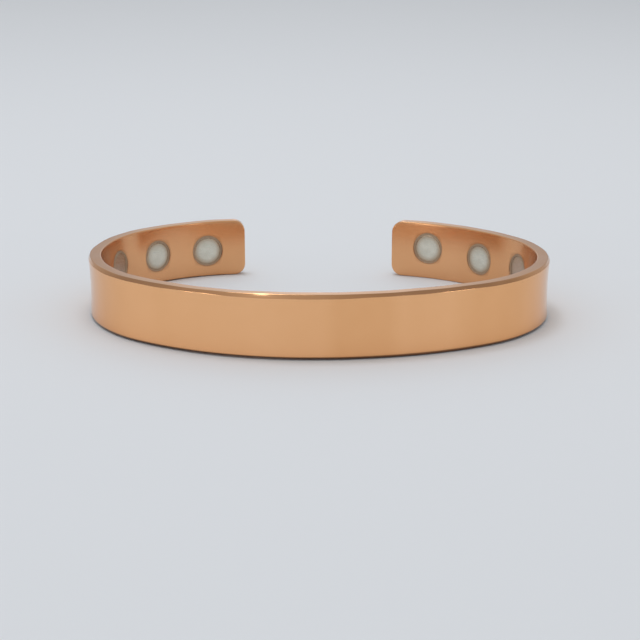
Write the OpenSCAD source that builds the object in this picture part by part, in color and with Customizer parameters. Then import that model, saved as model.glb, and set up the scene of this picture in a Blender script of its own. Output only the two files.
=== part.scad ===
// Open copper cuff that stands on one long edge, with three round magnets set
// into the inner face near each end. The plan is a chain of arcs that are tangent
// to each other, three to the left and three to the right of the front point.

/* [Band] */
// Height of the band, from one long edge to the other
band_height = 8; // [7:0.5:12]
// Thickness of the band
band_thickness = 1.7; // [1.6:0.1:2.4]
// Rounding of the four long edges
edge_rounding = 0.4; // [0.2:0.05:0.5]
// Radius of the four corners at the two ends, seen square to the band
end_corner_radius = 1.6; // [1:0.1:2]

/* [Left half of the outline] */
// Outer radius of the front arc, left of the front point
left_front_radius = 33.5; // [30:0.5:40]
// Angle that the left front arc turns through
left_front_turn = 39.5; // [35:0.5:45]
// Outer radius of the left side arc
left_side_radius = 22.5; // [20:0.5:25]
// Angle that the left side arc turns through
left_side_turn = 73; // [65:0.5:78]
// Outer radius of the arc that ends at the left end
left_rear_radius = 20.5; // [19:0.5:28]
// Angle that the left rear arc turns through
left_rear_turn = 63; // [54:0.5:66]

/* [Right half of the outline] */
// Outer radius of the front arc, right of the front point
right_front_radius = 40; // [35:0.5:45]
// Angle that the right front arc turns through
right_front_turn = 32.5; // [30:0.5:38]
// Outer radius of the right side arc
right_side_radius = 20; // [19:0.5:24]
// Angle that the right side arc turns through
right_side_turn = 83.5; // [75:0.5:88]
// Outer radius of the arc that ends at the right end
right_rear_radius = 26.5; // [22:0.5:30]
// Angle that the right rear arc turns through
right_rear_turn = 49.75; // [46:0.25:54]

/* [Magnets] */
// Diameter of a magnet
magnet_diameter = 4; // [3:0.1:4.6]
// Thickness of a magnet
magnet_thickness = 1; // [0.6:0.05:1]
// Bevel round both faces of a magnet
magnet_bevel = 0.2; // [0.1:0.05:0.3]
// Clearance between a magnet and the wall of its recess
side_clearance = 0.2; // [0.05:0.05:0.3]
// Clearance between a magnet and the floor of its recess
floor_clearance = 0.05; // [0.02:0.01:0.1]
// Depth of a magnet's face below the inner face of the band
face_depth = 0.05; // [0:0.05:0.15]
// Distance of each left magnet's centre from the left end, along the inner face
left_magnet_distances = [5.5, 13.6, 22.1]; // [5:0.1:30]
// Height of each left magnet's centre above the lower edge
left_magnet_heights = [3.8, 4, 4.1]; // [3.5:0.1:4.5]
// Distance of each right magnet's centre from the right end, along the inner face
right_magnet_distances = [5.5, 14.2, 22.8]; // [5:0.1:30]
// Height of each right magnet's centre above the lower edge
right_magnet_heights = [4.4, 4, 4.1]; // [3.5:0.1:4.5]

/* [Hidden] */
$fn = 128;

LEFT = -1;
RIGHT = 1;

// Columns of an outline table, which has a row for each arc from the front to the end
RADIUS = 0;
TURN = 1;
left_arcs = [
    [left_front_radius, left_front_turn],
    [left_side_radius, left_side_turn],
    [left_rear_radius, left_rear_turn]
];
right_arcs = [
    [right_front_radius, right_front_turn],
    [right_side_radius, right_side_turn],
    [right_rear_radius, right_rear_turn]
];
SIDE_ARC = 1;
REAR_ARC = 2;

recess_diameter = magnet_diameter + 2 * side_clearance;
recess_depth = face_depth + magnet_thickness + floor_clearance;
// How far a cutting solid runs past the face that it cuts
past = 1;
// How far an end corner's cylinder stands out past the two faces that it rounds off
corner_overrun = 0.01;
// Size of the coarse steps in which solids are placed
grid = 0.01;

copper = [0.80, 0.57, 0.40];
nickel = [0.70, 0.69, 0.65];

function arcs(side) = side == LEFT ? left_arcs : right_arcs;
function distances(side) = side == LEFT ? left_magnet_distances : right_magnet_distances;
function heights(side) = side == LEFT ? left_magnet_heights : right_magnet_heights;

// Outward direction of the band where the outline has turned this far from the front
function outward(side, turned) = [side * sin(turned), -cos(turned)];

// Angle turned from the front point to the start of an arc
function turned_at(side, arc) =
    arc == 0 ? 0 : turned_at(side, arc - 1) + arcs(side)[arc - 1][TURN];

// Centre of an arc, measured from the front point of the outline
function centre(side, arc) =
    arc == 0
        ? [0, arcs(side)[0][RADIUS]]
        : centre(side, arc - 1)
            + (arcs(side)[arc - 1][RADIUS] - arcs(side)[arc][RADIUS])
            * outward(side, turned_at(side, arc));

// Outer corner of an end, measured from the front point of the outline
function end_point(side) =
    centre(side, REAR_ARC)
        + arcs(side)[REAR_ARC][RADIUS] * outward(side, end_turn(side));
function end_turn(side) = turned_at(side, REAR_ARC + 1);

// Outermost point of a side arc, which is where it has turned a right angle
function reach(side) = centre(side, SIDE_ARC)[0] + side * arcs(side)[SIDE_ARC][RADIUS];

// Middle of the outline's box, measured from its front point
box_middle = [
    (reach(LEFT) + reach(RIGHT)) / 2,
    max(end_point(LEFT)[1], end_point(RIGHT)[1]) / 2
];

// Length of the inner face along an arc
function inner_radius(side, arc) = arcs(side)[arc][RADIUS] - band_thickness;
function inner_length(side, arc) = inner_radius(side, arc) * arcs(side)[arc][TURN] * PI / 180;

// Arc, and angle turned from the front, at a distance from the end along the inner face
function arc_at(side, distance) = distance < inner_length(side, REAR_ARC) ? REAR_ARC : SIDE_ARC;
function turn_at(side, distance) =
    let (
        arc = arc_at(side, distance),
        beyond = arc == REAR_ARC ? 0 : inner_length(side, REAR_ARC)
    )
    turned_at(side, arc + 1) - (distance - beyond) / inner_radius(side, arc) * 180 / PI;

// Moves its children in a coarse step and a fine one, so that stretches meet face to face
module place(at) {
    coarse = [for (v = at) round(v / grid) * grid];
    translate(coarse)
        translate(at - coarse)
            children();
}

// Cross-section of the band, with its outer face at the given radius from the arc's axis
module section(radius) {
    translate([radius - band_thickness, 0]) {
        translate([0, edge_rounding])
            square([band_thickness, band_height - 2 * edge_rounding]);
        translate([edge_rounding, 0])
            square([band_thickness - 2 * edge_rounding, band_height]);
        for (x = [edge_rounding, band_thickness - edge_rounding])
            for (y = [edge_rounding, band_height - edge_rounding])
                translate([x, y])
                    circle(edge_rounding);
    }
}

// Stretch of band along one arc
module stretch(side, arc) {
    turn = arcs(side)[arc][TURN];
    from_front = turned_at(side, arc);
    start = side == RIGHT ? from_front - 90 : -90 - from_front - turn;
    place(centre(side, arc))
        rotate_extrude(angle = turn, start = start)
            section(arcs(side)[arc][RADIUS]);
}

// Places its children on the inner face at a distance from the end, with Z pointing outward
module on_inner_face(side, distance, height) {
    arc = arc_at(side, distance);
    direction = outward(side, turn_at(side, distance));
    translate(concat(centre(side, arc) + inner_radius(side, arc) * direction, height))
        rotate([0, 0, atan2(direction[1], direction[0])])
            rotate([0, 90, 0])
                children();
}

// Places its children at an end, with X pointing outward and Y pointing off the end
module on_end(side) {
    direction = outward(side, end_turn(side));
    place(end_point(side))
        rotate([0, 0, atan2(direction[1], direction[0])])
            mirror([0, side == LEFT ? 1 : 0, 0])
                children();
}

// What is cut away to round the upper corner of an end
module corner_cut() {
    through = band_thickness + 2 * past;
    inset = end_corner_radius - corner_overrun;
    translate([-band_thickness - past, -inset, band_height - inset])
        difference() {
            cube([through, end_corner_radius + past, end_corner_radius + past]);
            rotate([0, 90, 0])
                cylinder(r = end_corner_radius, h = through);
        }
}

// What is cut away to round both corners of an end
module end_cut() {
    corner_cut();
    translate([0, 0, band_height])
        mirror([0, 0, 1])
            corner_cut();
}

module recess() {
    translate([0, 0, -past])
        cylinder(d = recess_diameter, h = recess_depth + past);
}

module band() {
    color(copper)
        translate(-box_middle)
            difference() {
                union() {
                    for (side = [LEFT, RIGHT])
                        for (arc = [0:REAR_ARC])
                            stretch(side, arc);
                }
                for (side = [LEFT, RIGHT]) {
                    on_end(side)
                        end_cut();
                    for (i = [0:len(distances(side)) - 1])
                        on_inner_face(side, distances(side)[i], heights(side)[i])
                            recess();
                }
            }
}

// Disc with a bevel round both faces, standing on the plane Z = 0
module disc() {
    radius = magnet_diameter / 2;
    rotate_extrude()
        polygon([
            [0, 0],
            [radius - magnet_bevel, 0],
            [radius, magnet_bevel],
            [radius, magnet_thickness - magnet_bevel],
            [radius - magnet_bevel, magnet_thickness],
            [0, magnet_thickness]
        ]);
}

// Magnet in its recess, counted from the end of its side
module magnet(side, number) {
    color(nickel)
        translate(-box_middle)
            on_inner_face(side, distances(side)[number - 1], heights(side)[number - 1])
                translate([0, 0, face_depth])
                    disc();
}

band();
magnet(LEFT, 1);  // magnet_left_1
magnet(LEFT, 2);  // magnet_left_2
magnet(LEFT, 3);  // magnet_left_3
magnet(RIGHT, 1);  // magnet_right_1
magnet(RIGHT, 2);  // magnet_right_2
magnet(RIGHT, 3);  // magnet_right_3
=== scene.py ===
"""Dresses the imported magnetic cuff: a polished copper band with six round magnets.

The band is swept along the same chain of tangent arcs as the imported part, with a filed upper edge, curled
long edges and recesses with softened mouths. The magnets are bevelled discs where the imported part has
them. Lengths are in metres, angles in degrees. X points right, Y to the back and Z up.
"""

import logging
import math
from collections.abc import Sequence
from dataclasses import dataclass, field
from enum import Enum

import bmesh
import bpy
import numpy as np
from mathutils import Matrix, Vector

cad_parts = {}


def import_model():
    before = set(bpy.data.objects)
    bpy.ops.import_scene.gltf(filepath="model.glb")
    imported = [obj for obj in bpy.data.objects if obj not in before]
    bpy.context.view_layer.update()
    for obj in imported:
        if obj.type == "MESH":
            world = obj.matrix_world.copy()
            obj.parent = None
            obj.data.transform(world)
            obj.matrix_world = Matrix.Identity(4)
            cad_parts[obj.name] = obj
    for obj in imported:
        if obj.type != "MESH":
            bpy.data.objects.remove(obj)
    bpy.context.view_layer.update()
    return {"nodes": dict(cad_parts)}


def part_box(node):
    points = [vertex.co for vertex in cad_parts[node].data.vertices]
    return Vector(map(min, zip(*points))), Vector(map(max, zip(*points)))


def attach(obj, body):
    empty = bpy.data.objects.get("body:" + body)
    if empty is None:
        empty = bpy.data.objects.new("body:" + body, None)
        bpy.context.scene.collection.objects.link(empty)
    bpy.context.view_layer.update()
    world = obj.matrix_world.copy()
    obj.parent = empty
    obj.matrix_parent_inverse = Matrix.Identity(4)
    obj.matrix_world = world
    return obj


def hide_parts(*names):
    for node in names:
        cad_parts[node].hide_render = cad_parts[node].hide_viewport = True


LOG = logging.getLogger("magnetic_cuff")
MM = 0.001
ROOT_BODY = "root"
UP = np.array((0.0, 0.0, 1.0))
# Names of the mesh attributes that tell a finish where each vertex lies and what it is like
LAY = "lay"
TONE = "tone"
# Share of painted shade and painted copper reflection on a magnet, by its number counted from the end of
# the band
MAGNET_SHADE = {"1": 0.0, "2": 0.06, "3": 0.80}

Values = float | np.ndarray
Colour = tuple[float, float, float]
# Where a range starts and ends
Limits = tuple[float, float]
# Point of an outline, by two lengths
Point = tuple[float, float]
Socket = bpy.types.NodeSocket
# Column and row of a point of a face's grid
Spot = tuple[int, int]
# Vertex number of each point of a face's grid
Grid = dict[Spot, int]


class Slot(Enum):
    """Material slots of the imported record."""

    COPPER = "polished_copper"
    NICKEL = "nickel_plate"


class Face(Enum):
    """The two broad faces of the band, by the direction in which each lies from the middle."""

    OUTER = 1
    INNER = -1


class Maths(Enum):
    """Ways to work out a value from one or two others, by Blender's names."""

    ADD = "ADD"
    SUBTRACT = "SUBTRACT"
    MULTIPLY = "MULTIPLY"
    ABSOLUTE = "ABSOLUTE"


class Blend(Enum):
    """Ways to mix two colours, by Blender's names."""

    COVER = "MIX"
    MULTIPLY = "MULTIPLY"


@dataclass(frozen=True)
class Tone:
    """What the finish is like at one vertex, each from 0 to 1.

    Edge is how far the vertex lies on a rim, inside how far it faces into the cuff, and the last how
    much painted shade it holds, which on the bevel is a painted dark reflection.
    """

    edge: float = 0.0
    inside: float = 0.0
    painted_shade: float = 0.0


class Shell:
    """Vertices and faces of one piece while it is being made."""

    def __init__(self) -> None:
        """Starts without vertices."""
        self.points: list[Sequence[float]] = []
        self.lays: list[Sequence[float]] = []
        self.tones: list[Tone] = []
        self.faces: list[tuple[int, ...]] = []

    def add(self, point: Sequence[float], lay: Sequence[float], tone: Tone = Tone()) -> int:
        """Adds a vertex.

        Args:
            point: Its place in the row frame.
            lay: Distance along the piece, height on it and depth below its face, for the finish.
            tone: What the finish is like there.

        Returns:
            The vertex's number.
        """
        self.points.append(tuple(float(value) for value in point))
        self.lays.append(tuple(float(value) for value in lay))
        self.tones.append(tone)
        return len(self.points) - 1

    def join(self, first: Sequence[int], second: Sequence[int], closed: bool = False) -> None:
        """Spans two equally long rows of vertices with quads.

        Args:
            first: Vertex numbers of one row.
            second: Vertex numbers of the other row.
            closed: Whether the rows are rings.
        """
        count = len(first)
        for here in range(count if closed else count - 1):
            after = (here + 1) % count
            self.faces.append((first[here], first[after], second[after], second[here]))

    def join_all(self, rings: Sequence[Sequence[int]]) -> None:
        """Spans each ring of vertices and the next with quads."""
        for first, second in zip(rings, rings[1:]):
            self.join(first, second, closed=True)

    def close(self, ring: Sequence[int], centre: int) -> None:
        """Closes a ring of vertices with a fan of triangles.

        Args:
            ring: Vertex numbers round the hole.
            centre: Vertex number of the fan's middle.
        """
        for here, vertex in enumerate(ring):
            self.faces.append((vertex, ring[(here + 1) % len(ring)], centre))

    def to_object(self, name: str) -> bpy.types.Object:
        """Makes the piece, with smooth faces that all point outward.

        Args:
            name: Name of the piece.

        Returns:
            The new object, linked to the scene.
        """
        mesh = bpy.data.meshes.new(name)
        mesh.from_pydata(self.points, [], self.faces)
        shape = bmesh.new()
        shape.from_mesh(mesh)
        bmesh.ops.recalc_face_normals(shape, faces=shape.faces)
        shape.to_mesh(mesh)
        shape.free()
        tones = [(tone.edge, tone.inside, tone.painted_shade) for tone in self.tones]
        for label, values in ((LAY, self.lays), (TONE, tones)):
            attribute = mesh.attributes.new(label, "FLOAT_VECTOR", "POINT")
            attribute.data.foreach_set("vector", np.array(values, np.float32).ravel())
        mesh.shade_smooth()
        piece = bpy.data.objects.new(name, mesh)
        bpy.context.scene.collection.objects.link(piece)
        return piece


@dataclass(frozen=True)
class Wave:
    """A slow unevenness along the band, as bending and filing by hand leave it.

    The phase is in radians.
    """

    length: float
    amount: float
    phase: float

    def at(self, distance: Values) -> Values:
        """Height of the wave at each distance along the band."""
        return self.amount * np.sin(distance * math.tau / self.length + self.phase)


def total(waves: Sequence[Wave], distance: Values) -> Values:
    """Sum of several waves at each distance along the band."""
    return sum(wave.at(distance) for wave in waves)


@dataclass(frozen=True)
class SoftSpan:
    """Short stretch of the band over which something fades in and out again."""

    middle: float
    length: float

    def share(self, distance: Values) -> Values:
        """How strong it is at each distance along the band, from 0 to 1."""
        away = np.minimum(np.abs(distance - self.middle) / (self.length / 2), 1.0)
        return (1 + np.cos(np.pi * away)) / 2


@dataclass(frozen=True)
class BevelSpot(SoftSpan):
    """Stretch of the upper outer edge where the bevel's painted dark reflection is lifted, and which may be
    flatter.

    One share says how much of that painted dark reflection is taken off. Depth and drop are how much
    further in and down the flat part reaches.
    """

    shade_lift: float
    depth: float = 0.0
    drop: float = 0.0


@dataclass(frozen=True)
class Arc:
    """Stretch of the plan with one outer radius, which turns through an angle."""

    radius: float
    turn: float


@dataclass
class CuffPlan:
    """Plan of the band, as a line along the middle of its thickness from the left end to the right.

    Each half is a chain of arcs from the front point to an end. The change from one arc to the next is
    eased over a short length, as in a bar that was bent round a former. The unevenness is added to the
    heading, in radians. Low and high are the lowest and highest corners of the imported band's box.
    """

    low: Vector
    high: Vector
    thickness: float = 1.7 * MM
    left: tuple[Arc, ...] = (Arc(33.5 * MM, 39.5), Arc(22.5 * MM, 73.0), Arc(20.5 * MM, 63.0))
    right: tuple[Arc, ...] = (Arc(40.0 * MM, 32.5), Arc(20.0 * MM, 83.5), Arc(26.5 * MM, 49.75))
    easing: float = 5.0 * MM
    easing_samples: int = 21
    step: float = 0.05 * MM
    unevenness: tuple[Wave, ...] = (
        Wave(length=23.0 * MM, amount=0.0030, phase=0.4),
        Wave(length=13.0 * MM, amount=0.0022, phase=2.1),
        Wave(length=7.3 * MM, amount=0.0010, phase=4.4),
    )
    length: float = field(init=False)
    distances: np.ndarray = field(init=False)
    lines: np.ndarray = field(init=False)
    bends: np.ndarray = field(init=False)

    def __post_init__(self) -> None:
        """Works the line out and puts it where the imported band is."""
        arcs = self.left[::-1] + self.right
        turns = [math.radians(arc.turn) for arc in arcs]
        lengths = [(arc.radius - self.thickness / 2) * turn for arc, turn in zip(arcs, turns)]
        knots = np.concatenate([[0.0], np.cumsum(lengths)])
        front = math.radians(sum(arc.turn for arc in self.left))
        headings = np.concatenate([[0.0], np.cumsum(turns)]) - front

        self.length = float(knots[-1])
        count = round(self.length / self.step)
        self.distances = np.linspace(0.0, self.length, count + 1)
        heading = self.eased(knots, headings) + total(self.unevenness, self.distances)
        self.bends = np.gradient(heading, self.distances)

        middles = (heading[1:] + heading[:-1]) / 2
        steps = np.stack([np.cos(middles), np.sin(middles)], 1) * self.length / count
        points = np.concatenate([np.zeros((1, 2)), np.cumsum(steps, 0)])
        outward = np.stack([np.sin(heading), -np.cos(heading)], 1)
        outer = points + outward * self.thickness / 2
        shift_x = (self.low.x + self.high.x) / 2 - (outer[:, 0].min() + outer[:, 0].max()) / 2
        shift_y = self.low.y - outer[:, 1].min()
        self.lines = np.hstack([points + (shift_x, shift_y), outward])

    def eased(self, knots: np.ndarray, headings: np.ndarray) -> np.ndarray:
        """Spreads the change from one arc to the next over the easing length.

        Args:
            knots: Distances along the band at which the arcs meet.
            headings: Headings there, in radians.

        Returns:
            The heading at each of the plan's distances.
        """
        first_bend, last_bend = (np.diff(headings) / np.diff(knots))[[0, -1]]
        shares = np.linspace(-0.5, 0.5, self.easing_samples)
        moved = self.distances[:, None] + shares[None, :] * self.easing
        before, beyond = np.minimum(moved, 0.0), np.maximum(moved - self.length, 0.0)
        plain = np.interp(moved, knots, headings) + before * first_bend + beyond * last_bend
        return plain.mean(1)

    def at(self, distance: Values) -> tuple[np.ndarray, np.ndarray]:
        """Point of the line and outward direction at each distance.

        Args:
            distance: Distances from the left end.

        Returns:
            The points and the unit directions, as rows of X and Y.
        """
        found = np.stack([np.interp(distance, self.distances, line) for line in self.lines.T], -1)
        outward = found[..., 2:] / np.linalg.norm(found[..., 2:], axis=-1, keepdims=True)
        return found[..., :2], outward

    def axes(self, distance: float) -> tuple[np.ndarray, np.ndarray]:
        """Level directions outward from the band and along it at one distance, as X, Y and Z."""
        x, y = self.at(distance)[1]
        return np.array([x, y, 0.0]), np.array([-y, x, 0.0])

    def bend(self, distance: Values) -> Values:
        """Curvature of the line at each distance."""
        return np.interp(distance, self.distances, self.bends)

    def nearest(self, point: Sequence[float]) -> float:
        """Distance along the line at which it passes closest to a point."""
        gaps = np.hypot(self.lines[:, 0] - point[0], self.lines[:, 1] - point[1])
        return float(self.distances[int(gaps.argmin())])


@dataclass(frozen=True)
class Column:
    """One line of vertices up a face of the band, between the roundings of the two long edges.

    Slant is how far the faces' border leans there, in radians: 0 along the long edges, above 0 in the
    corners of the left end and below 0 in those of the right end.
    """

    distance: float
    low: float
    high: float
    slant: float = 0.0

    def heights(self, shares: Values) -> Values:
        """Heights at shares of the column, counted from its lower end."""
        return self.low + (self.high - self.low) * shares


@dataclass(frozen=True)
class GridBlock:
    """Block of a face's grid, by its first and last column and its first and last row."""

    first_column: int
    last_column: int
    first_row: int
    last_row: int

    def inside(self) -> set[Spot]:
        """Grid points inside the block's border."""
        columns = range(self.first_column + 1, self.last_column)
        return {(i, j) for i in columns for j in range(self.first_row + 1, self.last_row)}

    def border(self) -> list[Spot]:
        """Grid points on the block's border.

        Returns:
            The points in turn, once round.
        """
        ring = [(i, self.first_row) for i in range(self.first_column, self.last_column)]
        ring += [(self.last_column, j) for j in range(self.first_row, self.last_row)]
        ring += [(i, self.last_row) for i in range(self.last_column, self.first_column, -1)]
        ring += [(self.first_column, j) for j in range(self.last_row, self.first_row, -1)]
        return ring


@dataclass
class Recess:
    """Round blind hole in the inner face that holds one magnet in a ring of glue.

    The rings lie between the mouth, at 0, and the border of the recess's block of the face, at 1. The
    painted shade round the mouth fades out over its reach in the same measure. The glue's curve
    holds the shares of its rise at the recess's wall, half way and at the magnet.
    """

    distance: float
    height: float
    magnet_radius: float
    magnet_rounding: float
    radius: float = 2.2 * MM
    softening: float = 0.05 * MM
    depth: float = 1.1 * MM
    magnet_depth: float = 0.05 * MM
    clearance: float = 0.02 * MM
    glue_depth: float = 0.07 * MM
    glue_rise: float = 0.02 * MM
    glue_curve: tuple[float, float, float] = (1.0, 0.25, 0.125)
    halo: float = 0.30
    halo_reach: float = 0.35
    margin: float = 0.40 * MM
    rings: tuple[float, ...] = (0.7, 0.35, 0.06, 0.0)
    floor_ring: float = 0.5
    curve_steps: int = 5

    def lines_round(self, positions: Sequence[float], middle: float) -> tuple[int, int]:
        """Picks the grid lines between which the recess and its margin fit.

        Args:
            positions: Positions of the grid lines, in rising order.
            middle: Position of the recess's middle.

        Returns:
            The numbers of the first line and the last.
        """
        reach = self.radius + self.softening + self.margin
        lines = np.array(positions)
        first = int(np.nonzero(lines <= middle - reach)[0][-1])
        last = int(np.nonzero(lines >= middle + reach)[0][0])
        return first, last

    def mouth_profile(self) -> list[Point]:
        """Outline of the softened mouth.

        Returns:
            Radius and depth of each ring, from below the face to the recess's wall.
        """
        tilts = [math.pi / 2 * step / self.curve_steps for step in range(1, self.curve_steps + 1)]
        return [
            (self.radius + self.softening * (1 - math.sin(tilt)), self.softening * (1 - math.cos(tilt)))
            for tilt in tilts
        ]

    def profile(self) -> list[Point]:
        """Outline of what lies below the mouth: the glue, its wall round the magnet and the floor.

        Returns:
            Radius and depth of each ring, from the mouth to the floor.
        """
        flat = self.magnet_radius - self.magnet_rounding
        reach = self.magnet_rounding + self.clearance
        level = self.magnet_depth + self.magnet_rounding
        first = math.acos((level - self.glue_depth) / reach)
        tilts = np.linspace(first, math.pi / 2, self.curve_steps)
        lip = [(flat + reach * math.sin(tilt), level - reach * math.cos(tilt)) for tilt in tilts]
        wall = self.magnet_radius + self.clearance
        radii = (self.radius - self.clearance, (self.radius + lip[0][0]) / 2, lip[0][0] + self.clearance)
        depths = [self.glue_depth - self.glue_rise * rise for rise in self.glue_curve]
        return [
            *zip(radii, depths),
            *lip,
            (wall, self.depth - self.clearance),
            (wall - self.clearance, self.depth),
            (wall * self.floor_ring, self.depth),
        ]


@dataclass
class RecessSite:
    """Place of one recess on the inner face, with its own X along the band and Z up.

    The face is measured along the band to both sides of the recess, as far as its reach, which counts
    in radii of the recess.
    """

    band: "CopperBand"
    recess: Recess
    reach: float = 2.0
    samples: int = 401
    origin: np.ndarray = field(init=False)
    outward: np.ndarray = field(init=False)
    along: np.ndarray = field(init=False)
    distances: np.ndarray = field(init=False)
    across: np.ndarray = field(init=False)

    def __post_init__(self) -> None:
        """Finds the recess's middle and axes, and the X of each measured distance."""
        middle, height = self.recess.distance, self.recess.height
        self.origin = self.band.on_inner_face(middle, height)
        self.outward, self.along = self.band.plan.axes(middle)
        reach = self.recess.radius * self.reach
        self.distances = np.linspace(middle - reach, middle + reach, self.samples)
        self.across = (self.band.on_inner_face(self.distances, height) - self.origin) @ self.along

    def add_face_ring(
        self, shell: Shell, x: np.ndarray, z: np.ndarray, depth: float, halo: float
    ) -> list[int]:
        """Adds a ring of vertices that follows the face.

        Args:
            shell: The piece being made.
            x: X of each vertex.
            z: Z of each vertex.
            depth: Depth of the ring below the face.
            halo: Share of painted shade there.

        Returns:
            The vertex numbers.
        """
        distances = np.interp(x, self.across, self.distances)
        heights = self.recess.height + z
        points = self.band.on_inner_face(distances, heights) + self.outward * depth
        tone = Tone(inside=1.0, painted_shade=halo)
        return [shell.add(p, (d, h, depth), tone) for p, d, h in zip(points, distances, heights)]

    def add_level_ring(self, shell: Shell, x: np.ndarray, z: np.ndarray, depth: float) -> list[int]:
        """Adds a ring of vertices square to the recess's axis.

        Args:
            shell: The piece being made.
            x: X of each vertex.
            z: Z of each vertex.
            depth: Depth of the ring below the face.

        Returns:
            The vertex numbers.
        """
        points = self.origin + self.outward * depth + np.outer(x, self.along) + np.outer(z, UP)
        lay = (self.recess.distance, self.recess.height, depth)
        return [shell.add(point, lay, Tone(inside=1.0)) for point in points]


@dataclass
class CopperBand:
    """The open band: two broad faces, a filed and three rounded long edges, round ends, six recesses."""

    plan: CuffPlan
    height: float
    recesses: list[Recess]
    name: str = "cuff_band"
    node: str = "band"

    # Roundings of the edges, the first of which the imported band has, and of the end corners
    rounding: float = 0.4 * MM
    inner_rounding: float = 0.14 * MM
    foot_rounding: float = 0.52 * MM
    end_radius: float = 1.6 * MM

    # Outward curl of the long edges at the usual bend, which calms down near the left end
    curl_top: float = 0.20 * MM
    curl_bottom: float = 0.10 * MM
    usual_bend: float = 42.0
    calm: SoftSpan = SoftSpan(middle=11.0 * MM, length=15.0 * MM)
    calming: float = 0.65

    # Bevel filed along the upper outer edge, with a knee between its steep part and its flat part
    bevel_height: float = 0.43 * MM
    bevel_depth: float = 0.27 * MM
    knee_height: float = 0.24 * MM
    bevel_softening: float = 0.07 * MM
    height_filing: tuple[Wave, ...] = (
        Wave(length=31.0 * MM, amount=0.050 * MM, phase=-0.15),
        Wave(length=11.0 * MM, amount=0.018 * MM, phase=3.0),
        Wave(length=4.7 * MM, amount=0.010 * MM, phase=0.7),
    )
    depth_filing: tuple[Wave, ...] = (
        Wave(length=23.0 * MM, amount=0.030 * MM, phase=2.2),
        Wave(length=8.3 * MM, amount=0.020 * MM, phase=0.4),
    )
    # Spots along the bevel where its painted dark reflection is lifted, some of them also flatter
    bevel_spots: tuple[BevelSpot, ...] = (
        BevelSpot(middle=66.0 * MM, length=8.4 * MM, shade_lift=0.25, depth=0.225 * MM, drop=0.08 * MM),
        BevelSpot(middle=70.3 * MM, length=4.6 * MM, shade_lift=0.0, depth=0.12 * MM),
        BevelSpot(middle=67.0 * MM, length=38.0 * MM, shade_lift=0.50),
        BevelSpot(middle=38.0 * MM, length=22.0 * MM, shade_lift=0.9),
        BevelSpot(middle=105.0 * MM, length=25.0 * MM, shade_lift=0.9),
    )

    # Top of the rim, and its foot, which stands on three low stretches
    crown: float = 0.012 * MM
    rim_filing: tuple[Wave, ...] = (
        Wave(length=17.0 * MM, amount=0.014 * MM, phase=0.9),
        Wave(length=6.1 * MM, amount=0.008 * MM, phase=2.6),
    )
    foot_lift: float = 0.09 * MM
    foot_filing: tuple[Wave, ...] = (Wave(length=48.0 * MM, amount=0.09 * MM, phase=-6.81),)

    # Painted shade of the contact on the foot, and painted dark reflection on the bevel from its first to
    # its last vertex across the edge
    foot_shade: float = 0.75
    bevel_shade: float = 0.57
    bevel_first: int = 3
    bevel_last: int = 15

    # Fineness of the mesh
    pitch: float = 0.36 * MM
    row_count: int = 24
    support: float = 0.04 * MM
    end_steps: int = 9
    edge_steps: int = 17
    inner_steps: int = 6
    rim_steps: int = 5

    columns: list[Column] = field(init=False)
    rows: np.ndarray = field(init=False)

    def __post_init__(self) -> None:
        """Spaces the columns and rows that both faces share.

        The rows are shares of a column's height, with one row close to each long edge.
        """
        self.columns = self.spaced_columns()
        nearest = self.support / (self.height - 2 * self.rounding)
        between = np.linspace(nearest, 1 - nearest, self.row_count)
        self.rows = np.concatenate([[0.0], between, [1.0]])

    def spaced_columns(self) -> list[Column]:
        """Spaces the columns along the band, closer together in the end corners.

        Returns:
            The columns from the left end to the right.
        """
        low, high = self.rounding, self.height - self.rounding
        radius = self.end_radius - self.rounding
        left, right = [], []
        for turn in np.radians(np.linspace(0.0, 90.0, self.end_steps + 1))[:-1]:
            distance = self.rounding + radius * (1 - math.cos(turn))
            rise = radius * (1 - math.sin(turn))
            slant = math.pi / 2 - turn
            left.append(Column(distance, low + rise, high - rise, slant))
            right.append(Column(self.plan.length - distance, low + rise, high - rise, -slant))
        start, stop = self.end_radius, self.plan.length - self.end_radius
        count = round((stop - start) / self.pitch)
        middle = [Column(distance, low, high) for distance in np.linspace(start, stop, count + 1)]
        return left + middle + right[::-1]

    def curl(self, distance: Values, height: Values) -> Values:
        """How far the long edges curl outward, which they do more where the bar is bent more.

        Args:
            distance: Distances from the left end.
            height: Heights above the surface that the cuff stands on.

        Returns:
            The outward shift at each point.
        """
        share = height / self.height * 2 - 1
        even = (self.curl_top + self.curl_bottom) / 2
        lean = (self.curl_top - self.curl_bottom) / 2
        bend = self.plan.bend(distance) / self.usual_bend
        calmed = 1 - self.calming * self.calm.share(distance)
        return (even * bend * share**2 + lean * share) * calmed

    def place(self, distance: Values, height: Values, offset: Values) -> np.ndarray:
        """Points of the band in the row frame.

        Args:
            distance: Distances from the left end.
            height: Heights above the surface that the cuff stands on.
            offset: Distances outward from the middle of the thickness.

        Returns:
            The points, as rows of X, Y and Z.
        """
        distance, height, offset = np.broadcast_arrays(distance, height, offset)
        middle, outward = self.plan.at(distance)
        shifted = middle + outward * (offset + self.curl(distance, height))[..., None]
        return np.concatenate([shifted, height[..., None]], -1)

    def on_inner_face(self, distance: Values, height: Values) -> np.ndarray:
        """Points of the inner face in the row frame."""
        return self.place(distance, height, -self.plan.thickness / 2)

    def build(self) -> bpy.types.Object:
        """Makes the band as one closed mesh.

        Returns:
            The band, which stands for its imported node.
        """
        shell = Shell()
        outer = self.face(shell, Face.OUTER, set())
        blocks = [self.block_of(recess) for recess in self.recesses]
        inner = self.face(shell, Face.INNER, set().union(*(block.inside() for block in blocks)))
        for recess, block in zip(self.recesses, blocks):
            self.sink(shell, recess, block, inner)
        self.rim(shell, outer, inner)
        piece = shell.to_object(self.name)
        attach(piece, ROOT_BODY)
        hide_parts(self.node)
        return piece

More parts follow.
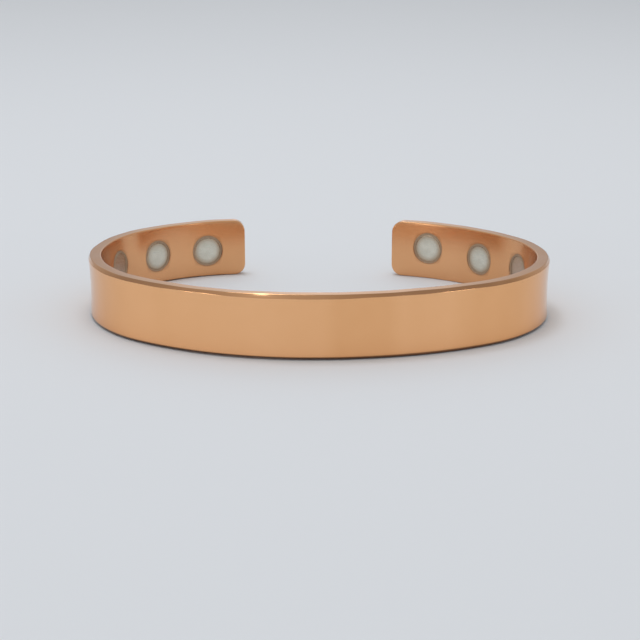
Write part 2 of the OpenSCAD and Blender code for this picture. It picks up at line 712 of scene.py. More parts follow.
    def dress(self, piece: bpy.types.Object, finish: bpy.types.Material) -> None:
        """Gives the band its finish."""
        piece.data.materials.append(finish)

    def face(self, shell: Shell, side: Face, covered: set[Spot]) -> Grid:
        """Makes one broad face as a grid of quads.

        Args:
            shell: The piece being made.
            side: Which of the two faces it is.
            covered: Grid points that the recesses replace, which are left out.

        Returns:
            The vertex number of each grid point.
        """
        offset = side.value * self.plan.thickness / 2
        tone = Tone(inside=float(side is Face.INNER))
        found: Grid = {}
        for i, column in enumerate(self.columns):
            shown = self.outer_column(column) if side is Face.OUTER else column
            heights = shown.heights(self.rows)
            for j, point in enumerate(self.place(column.distance, heights, offset)):
                if (i, j) not in covered:
                    found[i, j] = shell.add(point, (column.distance, heights[j], 0.0), tone)
        for i in range(len(self.columns) - 1):
            for j in range(len(self.rows) - 1):
                corners = ((i, j), (i + 1, j), (i + 1, j + 1), (i, j + 1))
                if all(corner in found for corner in corners):
                    shell.faces.append(tuple(found[corner] for corner in corners))
        return found

    def outer_column(self, column: Column) -> Column:
        """Shortens a column to fit the outer face, of which the foot and the bevel take more.

        Args:
            column: The column as it is on the inner face.

        Returns:
            The column as it is on the outer face.
        """
        upright = math.cos(column.slant) ** 2
        bevel_reach, _ = self.filed_corner(column.distance)[0]
        low = column.low + (self.foot_rounding - self.rounding) * upright
        high = column.high + bevel_reach * upright
        return Column(column.distance, low, high, column.slant)

    def block_of(self, recess: Recess) -> GridBlock:
        """Block of the inner face's grid that a recess takes up.

        Args:
            recess: The recess's place and sizes.

        Returns:
            The block.
        """
        plain = next(column for column in self.columns if column.slant == 0.0)
        columns = recess.lines_round([column.distance for column in self.columns], recess.distance)
        rows = recess.lines_round(plain.heights(self.rows), recess.height)
        return GridBlock(*columns, *rows)

    def sink(self, shell: Shell, recess: Recess, block: GridBlock, inner: Grid) -> None:
        """Makes one recess: the face round it, its softened mouth, its glue, wall and floor.

        Args:
            shell: The piece being made.
            recess: The recess's place and sizes.
            block: Block of the inner face's grid that the recess takes up.
            inner: Vertex number of each grid point of the inner face.
        """
        site = RecessSite(self, recess)
        spots = block.border()
        border_x = np.interp([self.columns[i].distance for i, _ in spots], site.distances, site.across)
        border_z = np.array([self.columns[i].heights(self.rows[j]) for i, j in spots]) - recess.height
        angles = np.arctan2(border_z, border_x)
        sideways, upward = np.cos(angles), np.sin(angles)

        rings = [[inner[spot] for spot in spots]]
        mouth = recess.radius + recess.softening
        for share in recess.rings:
            x = (1 - share) * mouth * sideways + share * border_x
            z = (1 - share) * mouth * upward + share * border_z
            # Painted shade round the mouth, fading outward
            halo = recess.halo * max(0.0, 1 - share / recess.halo_reach)
            rings.append(site.add_face_ring(shell, x, z, 0.0, halo))
        for radius, depth in recess.mouth_profile():
            x, z = radius * sideways, radius * upward
            rings.append(site.add_face_ring(shell, x, z, depth, recess.halo))
        for radius, depth in recess.profile():
            rings.append(site.add_level_ring(shell, radius * sideways, radius * upward, depth))
        shell.join_all(rings)
        centre = site.add_level_ring(shell, np.zeros(1), np.zeros(1), recess.depth)[0]
        shell.close(rings[-1], centre)

    def rim(self, shell: Shell, outer: Grid, inner: Grid) -> None:
        """Makes the strip that joins the two faces all the way round, with its two edges.

        Args:
            shell: The piece being made.
            outer: Vertex number of each grid point of the outer face.
            inner: Vertex number of each grid point of the inner face.
        """
        whole = GridBlock(0, len(self.columns) - 1, 0, len(self.rows) - 1)
        ribs = [self.rib(shell, outer, inner, spot) for spot in whole.border()]
        for here, rib in enumerate(ribs):
            shell.join(rib, ribs[(here + 1) % len(ribs)])

    def rib(self, shell: Shell, outer: Grid, inner: Grid, spot: Spot) -> list[int]:
        """Makes the vertices across the rim at one point of the faces' border.

        Args:
            shell: The piece being made.
            outer: Vertex number of each grid point of the outer face.
            inner: Vertex number of each grid point of the inner face.
            spot: Column and row of the point.

        Returns:
            The vertex numbers from the outer face to the inner face.
        """
        column = self.columns[spot[0]]
        distance, height = column.distance, column.heights(self.rows[spot[1]])
        along, up = self.facing(spot)
        on_top, below = max(up, 0.0), max(-up, 0.0)
        reach, offsets = self.section(distance, on_top, below)
        points = self.place(distance + along * reach, height + up * reach, offsets)
        half = self.plan.thickness / 2
        edges = np.clip(reach / self.rounding, 0.0, 1.0)
        insides = np.clip((self.rounding - offsets - half) / self.rounding, 0.0, 1.0)
        numbers = []
        for number, point in enumerate(points):
            # Painted dark reflection on the bevel and painted shade on the foot
            painted_shade = self.edge_shade(number, distance, on_top, below)
            lay = (distance, height + up * reach[number], 0.0)
            numbers.append(shell.add(point, lay, Tone(edges[number], insides[number], painted_shade)))
        return [outer[spot], *numbers, inner[spot]]

    def facing(self, spot: Spot) -> tuple[float, float]:
        """Direction in which the rim faces at one point of the faces' border.

        Args:
            spot: Column and row of the point.

        Returns:
            How far it faces along the band to the right, and how far up.
        """
        if spot[0] == 0:
            return -1.0, 0.0
        if spot[0] == len(self.columns) - 1:
            return 1.0, 0.0
        slant = self.columns[spot[0]].slant
        upward = 1.0 if spot[1] > 0 else -1.0
        return -math.sin(slant), upward * math.cos(slant)

    def section(self, distance: float, on_top: float, below: float) -> tuple[np.ndarray, np.ndarray]:
        """Cross-section of the rim, from the outer face to the inner face.

        Args:
            distance: Distance from the left end.
            on_top: How far the rim faces up there, from 0 to 1.
            below: How far it faces down, from 0 to 1.

        Returns:
            How far each vertex reaches past the faces' border, and its offset from the band's middle.
        """
        plain, foot = (np.array(self.round_corner(r)) for r in (self.rounding, self.foot_rounding))
        filed = np.array(self.filed_corner(distance))
        # The first vertex of the outer edge is already there, on the face's border
        outer_edge = (plain + (filed - plain) * on_top + (foot - plain) * below)[1:]
        inner_edge = np.array(self.inner_corner())
        inset = np.array((0.0, self.support))
        across = np.linspace(outer_edge[-1] - inset, inner_edge[0] + inset, self.rim_steps)
        reach, offsets = np.concatenate([outer_edge, across, inner_edge]).T

        crown = self.crown * (1 - (offsets / (self.plan.thickness / 2)) ** 2)
        bulge = (crown + total(self.rim_filing, distance)) * on_top
        lift = (self.foot_lift + total(self.foot_filing, distance)) * below
        return reach + (bulge - lift) * np.clip(reach / self.rounding, 0.0, 1.0), offsets

    def edge_shade(self, number: int, distance: float, on_top: float, below: float) -> float:
        """Share of painted shade at one vertex of an outer edge: a painted dark reflection on the bevel,
        less at its spots, and painted shade of the contact on the foot.

        Args:
            number: The vertex's place across the edge, from the outer face on.
            distance: Distance from the left end.
            on_top: How far the edge faces up, from 0 to 1.
            below: How far it faces down, from 0 to 1.

        Returns:
            The share, from 0 to 1.
        """
        shade_lift = min(sum(spot.shade_lift * spot.share(distance) for spot in self.bevel_spots), 1.0)
        bevelled = self.bevel_first <= number <= self.bevel_last
        bevel = self.bevel_shade * (1 - shade_lift) if bevelled else 0.0
        rise = min(number / self.bevel_first, 1.0) if number < self.edge_steps else 0.0
        return bevel * on_top + self.foot_shade * rise * below

    def round_corner(self, radius: float) -> list[Point]:
        """Outline of a rounded outer edge.

        Args:
            radius: Radius of the rounding.

        Returns:
            Reach and offset of each vertex, from the face to the rim.
        """
        flat = self.plan.thickness / 2 - radius
        tilts = [math.pi / 2 * step / self.edge_steps for step in range(self.edge_steps + 1)]
        return [
            (self.rounding - radius + radius * math.sin(tilt), flat + radius * math.cos(tilt))
            for tilt in tilts
        ]

    def inner_corner(self) -> list[Point]:
        """Outline of the rounded inner edge.

        Returns:
            Reach and offset of each vertex, from the rim to the inner face.
        """
        half, radius = self.plan.thickness / 2, self.inner_rounding
        tilts = [math.pi / 2 * step / self.inner_steps for step in range(self.inner_steps + 1)]
        return [
            (self.rounding - radius * (1 - math.cos(tilt)), radius * (1 - math.sin(tilt)) - half)
            for tilt in tilts
        ]

    def filed_corner(self, distance: float) -> list[Point]:
        """Outline of the bevel filed along the upper outer edge.

        Args:
            distance: Distance from the left end, along which the bevel's size varies a little.

        Returns:
            Reach and offset of each vertex, from the face to the rim, as many as a rounded edge has.
        """
        half = self.plan.thickness / 2
        height = self.bevel_height + total(self.height_filing, distance)
        depth = self.bevel_depth + total(self.depth_filing, distance)
        extra = sum(spot.depth * spot.share(distance) for spot in self.bevel_spots)
        drop = sum(spot.drop * spot.share(distance) for spot in self.bevel_spots)
        foot = Vector((self.rounding - height, half))
        plain_top = Vector((self.rounding, half - depth))
        knee = plain_top.lerp(foot, (self.knee_height + drop) / height)
        top = plain_top - Vector((0.0, extra))
        outline = (foot - Vector((self.bevel_softening, 0.0)), foot, knee, top, top - Vector((0.0, half)))
        steps = (self.edge_steps + 1) // len(outline[1:-1])
        rounded = []
        for before, corner, after in zip(outline, outline[1:], outline[2:]):
            start = corner + (before - corner).normalized() * self.bevel_softening
            stop = corner + (after - corner).normalized() * self.bevel_softening
            rounded += [self.curve((start, corner, stop), step / (steps - 1)) for step in range(steps)]
        return [tuple(point) for point in rounded]

    @staticmethod
    def curve(corner: Sequence[Vector], share: float) -> Vector:
        """Point on the smooth curve that rounds a corner, from its first point to its last."""
        return corner[0].lerp(corner[1], share).lerp(corner[1].lerp(corner[2], share), share)


@dataclass
class DiscMagnet:
    """Round plated magnet, glued into its recess."""

    node: str
    plan: CuffPlan
    # Share of painted shade and painted copper reflection on this disc
    shade_share: float
    radius: float = 2.0 * MM
    thickness: float = 1.0 * MM
    rounding: float = 0.2 * MM
    dish: float = 0.012 * MM
    # Radius from which painted shade darkens the face toward its rim
    shade_from: float = 1.15 * MM
    segments: int = 96
    curve_steps: int = 6
    face_rings: tuple[float, ...] = (0.2, 0.45, 0.7, 0.9, 0.98)
    centre: Vector = field(init=False)
    distance: float = field(init=False)

    def __post_init__(self) -> None:
        """Finds the magnet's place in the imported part."""
        low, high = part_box(self.node)
        self.centre = (low + high) / 2
        self.distance = self.plan.nearest(self.centre)

    def recess(self) -> Recess:
        """The recess that holds this magnet."""
        return Recess(self.distance, self.centre.z, self.radius, self.rounding)

    def profile(self) -> list[Point]:
        """Outline of the disc, with slightly dished faces and a rounded rim.

        Returns:
            Radius and height of each ring, from the middle of one face to the middle of the other.
        """
        half = self.thickness / 2
        flat = self.radius - self.rounding
        face = [(flat * share, half - self.dish * (1 - share**2)) for share in self.face_rings]
        tilts = np.linspace(0.0, math.pi / 2, self.curve_steps + 1)
        edge = [
            (flat + self.rounding * math.sin(tilt), half - self.rounding * (1 - math.cos(tilt)))
            for tilt in tilts
        ]
        upper = face + edge
        return upper + [(radius, -height) for radius, height in upper[::-1]]

    def build(self) -> bpy.types.Object:
        """Makes the disc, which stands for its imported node.

        Returns:
            The disc, with its faces square to the band.
        """
        shell = Shell()
        outward, along = self.plan.axes(self.distance)
        centre = np.array(self.centre)
        turns = np.linspace(0.0, math.tau, self.segments, endpoint=False)
        rings = []
        for radius, height in self.profile():
            x, z = radius * np.cos(turns), radius * np.sin(turns)
            points = centre + np.outer(x, along) + np.outer(z, UP) - outward * height
            # Painted shade toward the rim of the face
            edge = max((radius - self.shade_from) / (self.radius - self.shade_from), 0.0)
            # Every vertex carries the magnet's share of painted shade and painted copper reflection
            tone = Tone(edge=edge, painted_shade=self.shade_share)
            rings.append([shell.add(p, (a, b, radius), tone) for p, a, b in zip(points, x, z)])
        shell.join_all(rings)
        face_height = self.thickness / 2 - self.dish
        for ring, height in ((rings[0], face_height), (rings[-1], -face_height)):
            middle = shell.add(centre - outward * height, (0.0, 0.0, 0.0), Tone(painted_shade=self.shade_share))
            shell.close(ring, middle)
        piece = shell.to_object(self.node.replace("magnet", "disc"))
        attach(piece, ROOT_BODY)
        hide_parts(self.node)
        return piece

    def dress(self, piece: bpy.types.Object, finish: bpy.types.Material) -> None:
        """Gives the disc its finish."""
        piece.data.materials.append(finish)


@dataclass(frozen=True)
class Pattern:
    """Soft noise over a piece, with its own number of waves for each metre along X, Y and Z."""

    waves: tuple[float, float, float]
    detail: float
    roughness: float = 0.5


class NodeBench:
    """Short way to add and link the nodes of one material or world."""

    def __init__(self, tree: bpy.types.NodeTree) -> None:
        """Empties the node tree."""
        self.tree = tree
        tree.nodes.clear()

    def add(self, kind: str, **settings: object) -> bpy.types.Node:
        """Adds a node.

        Args:
            kind: Blender's name for the kind of node.
            settings: Properties to set on it.

        Returns:
            The node.
        """
        node = self.tree.nodes.new(kind)
        for key, value in settings.items():
            setattr(node, key, value)
        return node

    def link(self, source: Socket, target: Socket) -> None:
        """Links one socket to another."""
        self.tree.links.new(source, target)

    def attribute(self, name: str) -> Socket:
        """Adds a reader of a mesh attribute and returns its vector."""
        return self.add("ShaderNodeAttribute", attribute_name=name).outputs["Vector"]

    def parts(self, vector: Socket) -> bpy.types.NodeOutputs:
        """Splits a vector.

        Args:
            vector: The vector to split.

        Returns:
            Its X, Y and Z sockets.
        """
        node = self.add("ShaderNodeSeparateXYZ")
        self.link(vector, node.inputs["Vector"])
        return node.outputs

    def noise(self, vector: Socket, pattern: Pattern) -> Socket:
        """Adds a noise texture.

        Args:
            vector: Where it is read.
            pattern: Its scale and fineness.

        Returns:
            Its value, most of which lies between 0.3 and 0.7.
        """
        stretch = self.add("ShaderNodeVectorMath", operation="MULTIPLY")
        self.link(vector, stretch.inputs[0])
        stretch.inputs[1].default_value = pattern.waves
        node = self.add("ShaderNodeTexNoise")
        node.inputs["Scale"].default_value = 1.0
        node.inputs["Detail"].default_value = pattern.detail
        node.inputs["Roughness"].default_value = pattern.roughness
        self.link(stretch.outputs["Vector"], node.inputs["Vector"])
        return node.outputs["Fac"]

    def spread(self, value: Socket, source: Limits, target: Limits = (0.0, 1.0)) -> Socket:
        """Maps a value from one range to another and holds it within that range.

        Args:
            value: The value to map.
            source: Where the source range starts and ends.
            target: Where the target range starts and ends.

        Returns:
            The mapped value.
        """
        node = self.add("ShaderNodeMapRange", clamp=True)
        self.link(value, node.inputs["Value"])
        node.inputs["From Min"].default_value = source[0]
        node.inputs["From Max"].default_value = source[1]
        node.inputs["To Min"].default_value = target[0]
        node.inputs["To Max"].default_value = target[1]
        return node.outputs["Result"]

    def math(self, kind: Maths, first: Socket, second: Socket | float = 0.0) -> Socket:
        """Works out a value from one or two others.

        Args:
            kind: How they are put together.
            first: The first value.
            second: The second value, which may be a number.

        Returns:
            The result.
        """
        node = self.add("ShaderNodeMath", operation=kind.value)
        self.link(first, node.inputs[0])
        if isinstance(second, (int, float)):
            node.inputs[1].default_value = second
        else:
            self.link(second, node.inputs[1])
        return node.outputs["Value"]

    def weigh(self, first: Socket, second: Socket, share: float) -> Socket:
        """Takes the mean of two values.

        Args:
            first: The first value.
            second: The second value.
            share: Weight of the first value, from 0 to 1.

        Returns:
            The mean.
        """
        heavy = self.math(Maths.MULTIPLY, first, share)
        return self.math(Maths.ADD, heavy, self.math(Maths.MULTIPLY, second, 1 - share))

    def mix(
        self, share: Socket, first: Socket | Colour, second: Socket | Colour, kind: Blend = Blend.COVER
    ) -> Socket:
        """Mixes two colours.

        Args:
            share: Share of the second colour.
            first: A socket, or red, green and blue.
            second: A socket, or red, green and blue.
            kind: How they are mixed.

        Returns:
            The mixed colour.
        """
        node = self.add("ShaderNodeMix", data_type="RGBA", blend_type=kind.value)
        self.link(share, node.inputs["Factor"])
        for name, colour in (("A", first), ("B", second)):
            socket = next(s for s in node.inputs if s.name == name and s.type == "RGBA")
            if isinstance(colour, Socket):
                self.link(colour, socket)
            else:
                socket.default_value = (*colour, 1.0)
        return next(s for s in node.outputs if s.type == "RGBA")

    def bump(self, height: Socket, distance: float, strength: float) -> Socket:
        """Turns a height into a normal.

        Args:
            height: The height, from 0 to 1.
            distance: How deep a height of 1 is.
            strength: Share of the effect.

        Returns:
            The normal.
        """
        node = self.add("ShaderNodeBump")
        node.inputs["Distance"].default_value = distance
        node.inputs["Strength"].default_value = strength
        self.link(height, node.inputs["Height"])
        return node.outputs["Normal"]


def start_finish(name: str) -> tuple[bpy.types.Material, NodeBench, bpy.types.Node]:
    """Starts a material that has one shader.

    Args:
        name: Name of the material.

    Returns:
        The material, the bench for its nodes and its shader.
    """
    material = bpy.data.materials.new(name)
    material.use_nodes = True
    bench = NodeBench(material.node_tree)
    shader = bench.add("ShaderNodeBsdfPrincipled")
    output = bench.add("ShaderNodeOutputMaterial")
    bench.link(shader.outputs["BSDF"], output.inputs["Surface"])
    return material, bench, shader


@dataclass(frozen=True)
class ColourStretch:
    """Stretch of the band over which its colour changes, with soft ends."""

    start: float
    stop: float
    softness: float
    strength: float

    def share(self, bench: NodeBench, distance: Socket) -> Socket:
        """Adds the nodes that fade the change in and out along the band.

        Args:
            bench: The material's nodes.
            distance: Distance along the band.

        Returns:
            The share of the changed colour, from 0 to the stroke's strength.
        """
        soft = self.softness
        rise = bench.spread(distance, (self.start - soft, self.start + soft), (0.0, self.strength))
        fall = bench.spread(distance, (self.stop - soft, self.stop + soft), (1.0, 0.0))
        return bench.math(Maths.MULTIPLY, rise, fall)


@dataclass(frozen=True)
class PolishedCopper:
    """Copper polished along the bar, with fine hairlines, faint clouds, painted shade, a paler painted
    sheen inside the front and glue darkened as painted shade of its gap.
    """

    name: str = "polished_copper"

    # Colours of the copper; what multiplies them as painted shade inside the cuff and where painted shade
    # lies; a paler painted sheen; the glue's colour with painted shade of its gap; and the tint at glancing
    # angles
    bright: Colour = (0.980, 0.530, 0.255)
    warm: Colour = (0.900, 0.465, 0.205)
    # Painted shade that darkens the inner face
    inside: Colour = (0.86, 0.84, 0.85)
    shade_colour: Colour = (0.10, 0.06, 0.08)
    painted_sheen: Colour = (0.94, 0.64, 0.43)
    # The glue's own brown, darkened as painted shade of the gap round the magnet
    glue_and_gap_shade: Colour = (0.500, 0.365, 0.250)
    glancing: Colour = (0.90, 0.89, 0.89)

    # Patterns of the colour, the share of the first in both, and how much they deepen the colour
    bands: Pattern = Pattern(waves=(160.0, 22.0, 0.0), detail=1.0)
    clouds: Pattern = Pattern(waves=(420.0, 380.0, 400.0), detail=3.0)
    band_share: float = 0.6
    drift_range: Limits = (0.35, 0.65)
    drift: float = 0.35

    # Roughness, what is added to it inside the cuff and on the glue, and its share left on the rim
    roughness: float = 0.14
    roughness_spread: float = 0.04
    inside_roughness: float = 0.10
    stained_roughness: float = 0.40
    rim_polish: float = 0.85
    coat: float = 0.3
    coat_roughness: float = 0.12

    # Depth below the face between which the glue's colour comes in
    glue_zone_depths: Limits = (0.0350 * MM, 0.0455 * MM)

    # Hairlines and haze of the polish, which share the roughness and of which the first is bumped
    hairlines: Pattern = Pattern(waves=(260.0, 21000.0, 9000.0), detail=2.0, roughness=0.6)
    haze: Pattern = Pattern(waves=(900.0, 2600.0, 2600.0), detail=2.0)
    hairline_share: float = 0.5
    hairline_range: Limits = (0.3, 0.7)
    hairline_depth: float = 0.004 * MM
    hairline_strength: float = 0.12

    # Painted light: a paler colour on the front's inner face, so that its reflection in the rear inner
    # faces comes out lighter
    sheen_stretch: ColourStretch = ColourStretch(start=48.0 * MM, stop=96.0 * MM, softness=12.0 * MM, strength=0.9)
    strokes: tuple[ColourStretch, ...] = (
        ColourStretch(start=74.0 * MM, stop=81.8 * MM, softness=1.0 * MM, strength=0.65),
        ColourStretch(start=90.5 * MM, stop=99.0 * MM, softness=2.0 * MM, strength=0.65),
        ColourStretch(start=0.0, stop=7.5 * MM, softness=2.5 * MM, strength=0.50),
        ColourStretch(start=20.0 * MM, stop=46.0 * MM, softness=4.0 * MM, strength=0.85),
        ColourStretch(start=98.0 * MM, stop=110.0 * MM, softness=3.0 * MM, strength=0.65),
        ColourStretch(start=112.0 * MM, stop=131.0 * MM, softness=3.0 * MM, strength=0.65),
    )

    def material(self) -> bpy.types.Material:
        """Makes the finish.

        Returns:
            The material.
        """
        material, bench, shader = start_finish(self.name)
        shader.inputs["Metallic"].default_value = 1.0
        shader.inputs["Specular Tint"].default_value = (*self.glancing, 1.0)
        shader.inputs["Coat Weight"].default_value = self.coat
        shader.inputs["Coat Roughness"].default_value = self.coat_roughness

        lay = bench.attribute(LAY)
        place, tone = bench.parts(lay), bench.parts(bench.attribute(TONE))
        glue_zone = bench.spread(place["Z"], self.glue_zone_depths)
        copper = self.copper(bench, lay, place["X"], tone)
        # Glue colour, partly painted shade of the gap
        bench.link(bench.mix(glue_zone, copper, self.glue_and_gap_shade), shader.inputs["Base Color"])

        hairlines = bench.noise(lay, self.hairlines)
        rough = self.uneven_roughness(bench, lay, hairlines)
        polished = bench.spread(tone["X"], (0.0, 1.0), (1.0, self.rim_polish))
        rough = bench.math(Maths.MULTIPLY, rough, polished)
        for share, added in ((tone["Y"], self.inside_roughness), (glue_zone, self.stained_roughness)):
            rough = bench.math(Maths.ADD, rough, bench.math(Maths.MULTIPLY, share, added))
        bench.link(rough, shader.inputs["Roughness"])
        normal = bench.bump(hairlines, self.hairline_depth, self.hairline_strength)
        bench.link(normal, shader.inputs["Normal"])
        return material

    def copper(
        self, bench: NodeBench, lay: Socket, distance: Socket, tone: bpy.types.NodeOutputs
    ) -> Socket:
        """Adds the nodes of the metal's colour, with the painted shade and painted light laid on it.

        Args:
            bench: The material's nodes.
            lay: Place on the band.
            distance: Distance along the band.
            tone: How far a point is on an edge, inside, and under painted shade.

        Returns:
            The colour.
        """
        uneven = bench.weigh(bench.noise(lay, self.bands), bench.noise(lay, self.clouds), self.band_share)
        depth_of_colour = bench.spread(uneven, self.drift_range, (0.0, self.drift))
        for stroke in self.strokes:
            depth_of_colour = bench.math(Maths.ADD, depth_of_colour, stroke.share(bench, distance))
        colour = bench.mix(depth_of_colour, self.bright, self.warm)
        # Painted shade inside the cuff
        colour = bench.mix(tone["Y"], colour, self.inside, Blend.MULTIPLY)
        # Painted light on the front's inner face
        painted_sheen = bench.math(Maths.MULTIPLY, tone["Y"], self.sheen_stretch.share(bench, distance))
        colour = bench.mix(painted_sheen, colour, self.painted_sheen)
        # Painted shade and painted dark reflections, where the tone holds them
        return bench.mix(tone["Z"], colour, self.shade_colour, Blend.MULTIPLY)

    def uneven_roughness(self, bench: NodeBench, lay: Socket, hairlines: Socket) -> Socket:
        """Adds the nodes of the polish's roughness.

        Args:
            bench: The material's nodes.
            lay: Place on the band.
            hairlines: Height of the hairlines.

        Returns:
            The roughness of a bare outer face.
        """
        polish = bench.weigh(hairlines, bench.noise(lay, self.haze), self.hairline_share)
        low, high = self.roughness - self.roughness_spread, self.roughness + self.roughness_spread
        return bench.spread(polish, self.hairline_range, (low, high))


@dataclass(frozen=True)
class NickelPlate:
    """Satin nickel plate on a magnet, clouded, with painted shade round its rim and a painted brown shade
    and copper reflection by the magnet's share.
    """

    name: str = "nickel_plate"
    plate: Colour = (0.74, 0.735, 0.645)
    dull: Colour = (0.65, 0.64, 0.55)
    # Brownish painted shade round the rim of the face, where it meets the dark gap
    rim: Colour = (0.46, 0.36, 0.255)
    rim_range: Limits = (0.0, 0.8)
    # Brown painted shade and painted copper reflection, laid on by the magnet's share
    shaded_reflection: Colour = (0.50, 0.36, 0.27)
    clouds: Pattern = Pattern(waves=(900.0, 900.0, 300.0), detail=3.0)
    cloud_range: Limits = (0.35, 0.7)
    roughness: float = 0.26
    roughness_spread: float = 0.06
    grain: Pattern = Pattern(waves=(9000.0, 9000.0, 9000.0), detail=2.0)
    grain_range: Limits = (0.3, 0.7)
    grain_depth: float = 0.006 * MM
    grain_strength: float = 0.20

    def material(self) -> bpy.types.Material:
        """Makes the finish.

        Returns:
            The material.
        """
        material, bench, shader = start_finish(self.name)
        shader.inputs["Metallic"].default_value = 1.0
        lay, tone = bench.attribute(LAY), bench.parts(bench.attribute(TONE))
        clouds = bench.spread(bench.noise(lay, self.clouds), self.cloud_range)
        colour = bench.mix(clouds, self.plate, self.dull)
        # Painted shade and painted copper reflection, by the magnet's share
        colour = bench.mix(tone["Z"], colour, self.shaded_reflection)
        # Painted shade round the rim of the face
        colour = bench.mix(bench.spread(tone["X"], self.rim_range), colour, self.rim)
        bench.link(colour, shader.inputs["Base Color"])

        grain = bench.noise(lay, self.grain)
        low, high = self.roughness - self.roughness_spread, self.roughness + self.roughness_spread
        bench.link(bench.spread(grain, self.grain_range, (low, high)), shader.inputs["Roughness"])
        normal = bench.bump(grain, self.grain_depth, self.grain_strength)
        bench.link(normal, shader.inputs["Normal"])
        return material


@dataclass(frozen=True)
class PalePaper:
    """Matt pale paper of the flat sheet that the cuff stands on."""

    name: str = "pale_paper"
    colour: Colour = (0.778, 0.800, 0.820)
    roughness: float = 0.9
    gloss: float = 0.1
    tooth: Pattern = Pattern(waves=(1500.0, 1500.0, 1500.0), detail=3.0)
    tooth_depth: float = 0.02 * MM
    tooth_strength: float = 0.06

    def material(self) -> bpy.types.Material:
        """Makes the finish.

        Returns:
            The material.
        """
        material, bench, shader = start_finish(self.name)
        shader.inputs["Base Color"].default_value = (*self.colour, 1.0)
        shader.inputs["Roughness"].default_value = self.roughness
        shader.inputs["Specular IOR Level"].default_value = self.gloss
        tooth = bench.noise(bench.add("ShaderNodeTexCoord").outputs["Object"], self.tooth)
        bench.link(bench.bump(tooth, self.tooth_depth, self.tooth_strength), shader.inputs["Normal"])
        return material


@dataclass(frozen=True)
class SoftLight:
    """Square or oblong lamp that faces the cuff, placed by its direction from the cuff.

    Azimuth 0 is behind the cuff and 90 to its right. Width and height are as seen from the cuff.
    """

    name: str
    azimuth: float
    elevation: float
    distance: float
    width: float
    height: float
    power: float
    colour: Colour = (1.0, 1.0, 1.0)
    in_reflections: bool = True

    def build(self, target: Vector) -> bpy.types.Object:
        """Makes the lamp.

        Args:
            target: The point that it faces.

        Returns:
            The lamp's object.
        """
        lamp = bpy.data.lights.new(self.name, "AREA")
        lamp.shape = "RECTANGLE"
        lamp.size = self.width
        lamp.size_y = self.height
        lamp.energy = self.power
        lamp.color = self.colour
        turn, rise = math.radians(self.azimuth), math.radians(self.elevation)
        away = Vector((math.sin(turn) * math.cos(rise), math.cos(turn) * math.cos(rise), math.sin(rise)))
        holder = bpy.data.objects.new(self.name, lamp)
        holder.location = target + away * self.distance
        holder.rotation_euler = away.to_track_quat("Z", "Y").to_euler()
        holder.visible_camera = False
        holder.visible_glossy = self.in_reflections
        bpy.context.scene.collection.objects.link(holder)
        return holder


@dataclass
class Studio:
    """Sheet of pale paper, soft surroundings and lamps.

    The light of the surroundings is given for the sky, for the low sky near the horizon and for a glow
    in the low sky behind the cuff. The ranges are parts of a unit direction: up, sideways from the
    glow's middle, and to the back.
    """

    half_width: float = 1.6
    target_height: float = 4.0 * MM
    tint: Colour = (0.985, 1.0, 1.03)
    sky: float = 0.58
    low_sky: float = 0.47
    back_glow: float = 0.87
    low_range: Limits = (0.27, 0.42)
    glow_middle: float = -0.015
    glow_reach: float = 0.135
    back_range: Limits = (0.3, 0.6)
    lamps: tuple[SoftLight, ...] = (
        SoftLight(
            name="overhead", azimuth=0.0, elevation=88.0, distance=0.6, width=0.30, height=0.30,
            power=0.60, colour=(1.05, 1.0, 0.94), in_reflections=False,
        ),
        SoftLight(
            name="left_spark", azimuth=-59.0, elevation=77.0, distance=0.6, width=0.16, height=0.16,
            power=0.37, colour=(0.92, 1.0, 1.15),
        ),
        SoftLight(
            name="back_fill", azimuth=-12.0, elevation=38.0, distance=0.85, width=0.7, height=0.7,
            power=0.50, in_reflections=False,
        ),
        SoftLight(
            name="front_left_strip", azimuth=-130.0, elevation=9.0, distance=0.8, width=0.24,
            height=0.05, power=0.25,
        ),
        SoftLight(
            name="front_right_strip", azimuth=125.0, elevation=9.0, distance=0.8, width=0.20,
            height=0.05, power=0.18,
        ),
    )

    def build(self) -> None:
        """Makes the paper, the surroundings and the lamps."""
        paper = self.paper()
        paper.data.materials.append(PalePaper().material())
        self.surroundings()
        for lamp in self.lamps:
            lamp.build(Vector((0.0, 0.0, self.target_height)))

    def paper(self) -> bpy.types.Object:
        """Makes the flat sheet of paper that the cuff stands on.

        Returns:
            The sheet, without a finish.
        """
        size = self.half_width
        corners = [(-size, -size, 0.0), (size, -size, 0.0), (size, size, 0.0), (-size, size, 0.0)]
        mesh = bpy.data.meshes.new("paper_sheet")
        mesh.from_pydata(corners, [], [(0, 1, 2, 3)])
        paper = bpy.data.objects.new("paper_sheet", mesh)
        bpy.context.scene.collection.objects.link(paper)
        return paper

    def surroundings(self) -> None:
        """Makes the light from all sides, dimmer near the horizon but for the glow behind the cuff."""
        world = bpy.data.worlds.new("soft_surroundings")
        bpy.context.scene.world = world
        world.use_nodes = True
        bench = NodeBench(world.node_tree)
        direction = bench.parts(bench.add("ShaderNodeTexCoord").outputs["Generated"])
        low = bench.spread(direction["Z"], self.low_range, (1.0, 0.0))
        sideways = bench.math(Maths.SUBTRACT, direction["X"], self.glow_middle)
        aside = bench.math(Maths.ABSOLUTE, sideways)
        near = bench.spread(aside, (0.0, self.glow_reach), (1.0, 0.0))
        behind = bench.spread(direction["Y"], self.back_range)
        glow = bench.math(Maths.MULTIPLY, bench.math(Maths.MULTIPLY, near, behind), low)
        even, dim, bright = (
            tuple(level * value for value in self.tint)
            for level in (self.sky, self.low_sky, self.back_glow)
        )
        background = bench.add("ShaderNodeBackground")
        bench.link(bench.mix(glow, bench.mix(low, even, dim), bright), background.inputs["Color"])
        output = bench.add("ShaderNodeOutputWorld")
        bench.link(background.outputs["Background"], output.inputs["Surface"])


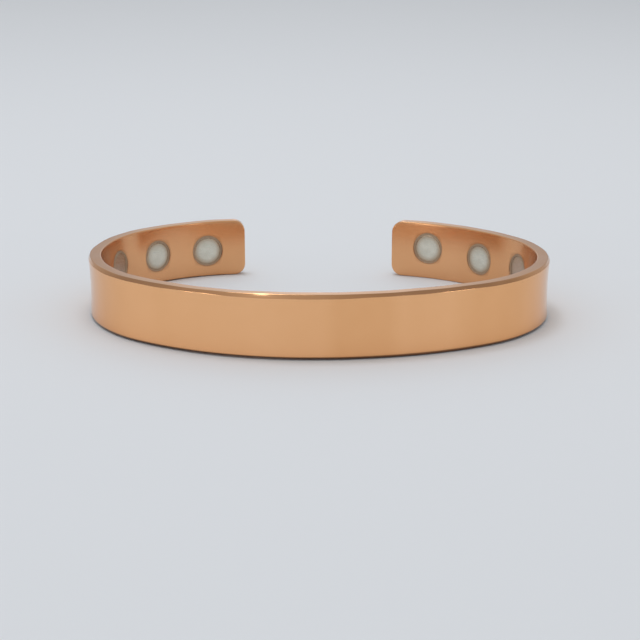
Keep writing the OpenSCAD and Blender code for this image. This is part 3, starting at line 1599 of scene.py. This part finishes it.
@dataclass
class ProductCamera:
    """Camera in front of the cuff and a little above it."""

    position: tuple[float, float, float] = (2.965 * MM, -200.505 * MM, 52.213 * MM)
    yaw: float = -0.773
    pitch: float = 14.90
    roll: float = -0.063
    lens: float = 87.76
    sensor: float = 36.0
    nearest: float = 0.01
    farthest: float = 20.0

    def build(self) -> bpy.types.Object:
        """Makes the camera and puts it to use.

        Returns:
            The camera's object.
        """
        data = bpy.data.cameras.new("product_camera")
        data.lens = self.lens
        data.sensor_width = self.sensor
        data.clip_start = self.nearest
        data.clip_end = self.farthest
        camera = bpy.data.objects.new("product_camera", data)
        level = Matrix.Rotation(math.radians(90.0 - self.pitch), 4, "X")
        heading = Matrix.Rotation(math.radians(-self.yaw), 4, "Z")
        rolled = Matrix.Rotation(math.radians(self.roll), 4, "Z")
        camera.matrix_world = Matrix.Translation(self.position) @ heading @ level @ rolled
        bpy.context.scene.collection.objects.link(camera)
        bpy.context.scene.camera = camera
        return camera


def show_true_colours() -> None:
    """Sets the view to show colours as they are, without a film's look."""
    view = bpy.context.scene.view_settings
    view.view_transform = "Standard"
    view.look = "None"


def report(piece: bpy.types.Object) -> None:
    """Logs a piece's name and number of faces."""
    LOG.info("made %s with %d faces", piece.name, len(piece.data.polygons))


def main() -> None:
    """Builds the band, the magnets, the studio and the camera in turn."""
    logging.basicConfig(level=logging.INFO, format="%(name)s: %(message)s")
    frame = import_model()

    low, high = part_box(CopperBand.node)
    plan = CuffPlan(low=low, high=high)
    nodes = [node for node in sorted(frame["nodes"]) if node != CopperBand.node]
    magnets = [DiscMagnet(node, plan, MAGNET_SHADE[node[-1]]) for node in nodes]
    recesses = [magnet.recess() for magnet in magnets]
    band = CopperBand(plan=plan, height=high.z - low.z, recesses=recesses)
    cuff = band.build()
    band.dress(cuff, PolishedCopper().material())
    report(cuff)

    plate = NickelPlate().material()
    for magnet in magnets:
        disc = magnet.build()
        magnet.dress(disc, plate)
        report(disc)

    Studio().build()
    ProductCamera().build()
    show_true_colours()


if __name__ == "__main__":
    main()
